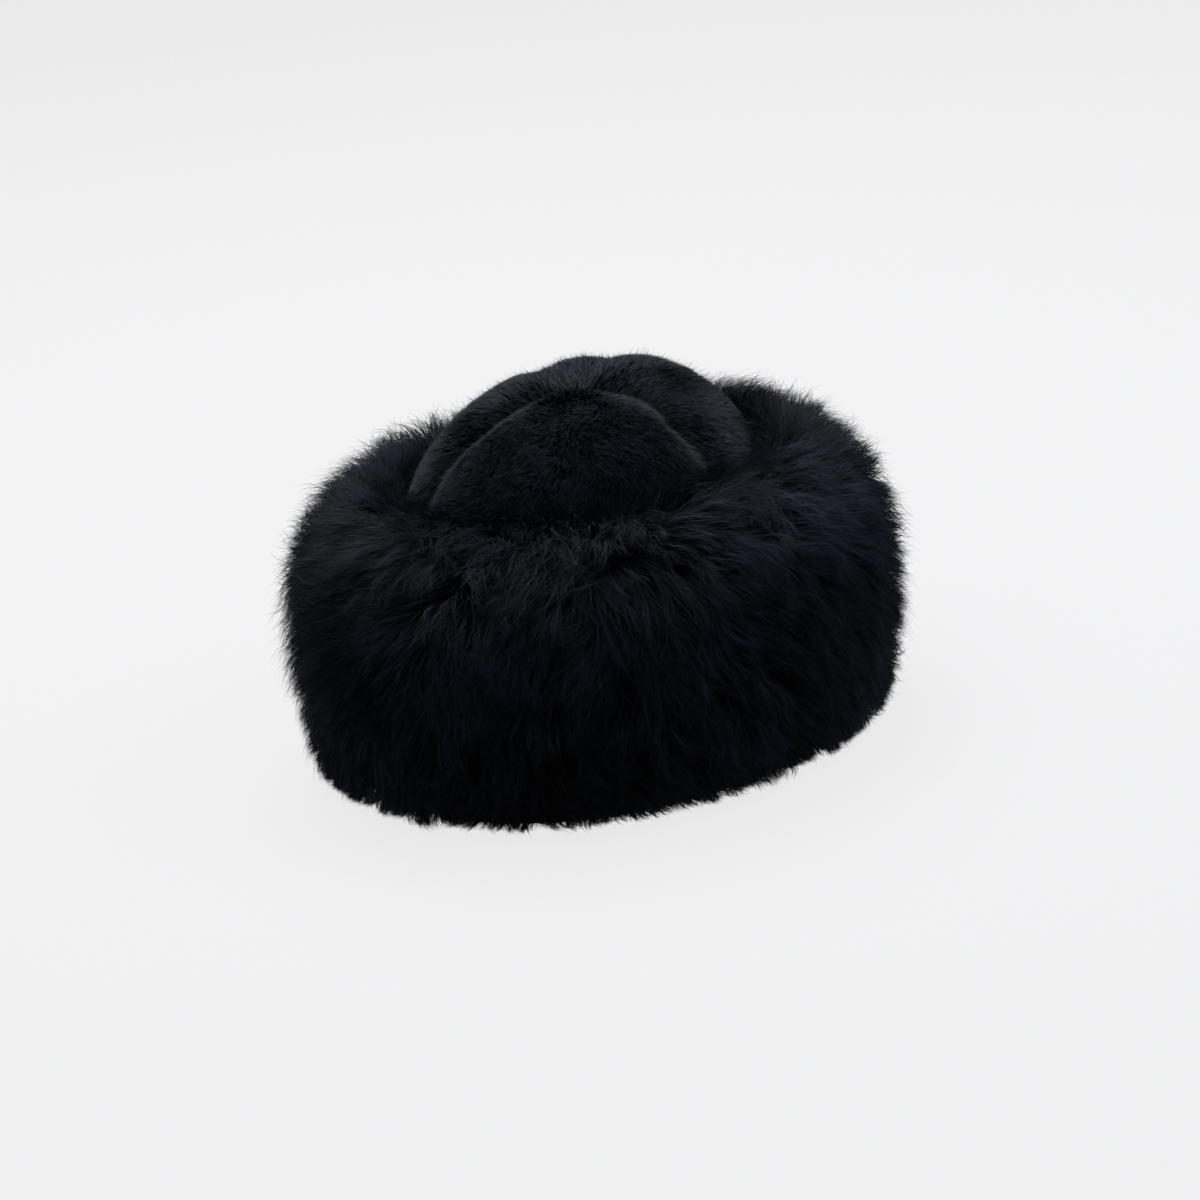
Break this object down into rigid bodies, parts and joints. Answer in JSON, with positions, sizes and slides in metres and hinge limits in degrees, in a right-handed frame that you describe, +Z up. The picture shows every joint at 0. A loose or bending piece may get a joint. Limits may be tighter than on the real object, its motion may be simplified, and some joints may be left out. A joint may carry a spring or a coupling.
{
  "type": "alpaca fur hat",
  "caption": "Winter hat of black alpaca fur, with a deep long-pile band round the head and a low domed short-pile crown sewn from gores.",
  "frame": {"origin": "centre of the hat on the plane that its rim rests on, under the middle of the head opening", "axes": "+Z up; the front of the hat faces -Y and the wearer's left is +X; the head oval is long along Y"},
  "size_m": [0.253, 0.283, 0.1633],
  "materials": {
    "long_pile": "long black alpaca fur with a faint blue cast",
    "short_pile": "short dense black alpaca pile"
  },
  "bodies": {
    "root": {"fur_band": "long_pile", "crown_gore_front_left": "short_pile", "crown_gore_front_right": "short_pile", "crown_gore_back_left": "short_pile", "crown_gore_back_right": "short_pile"}
  },
  "joints": []
}
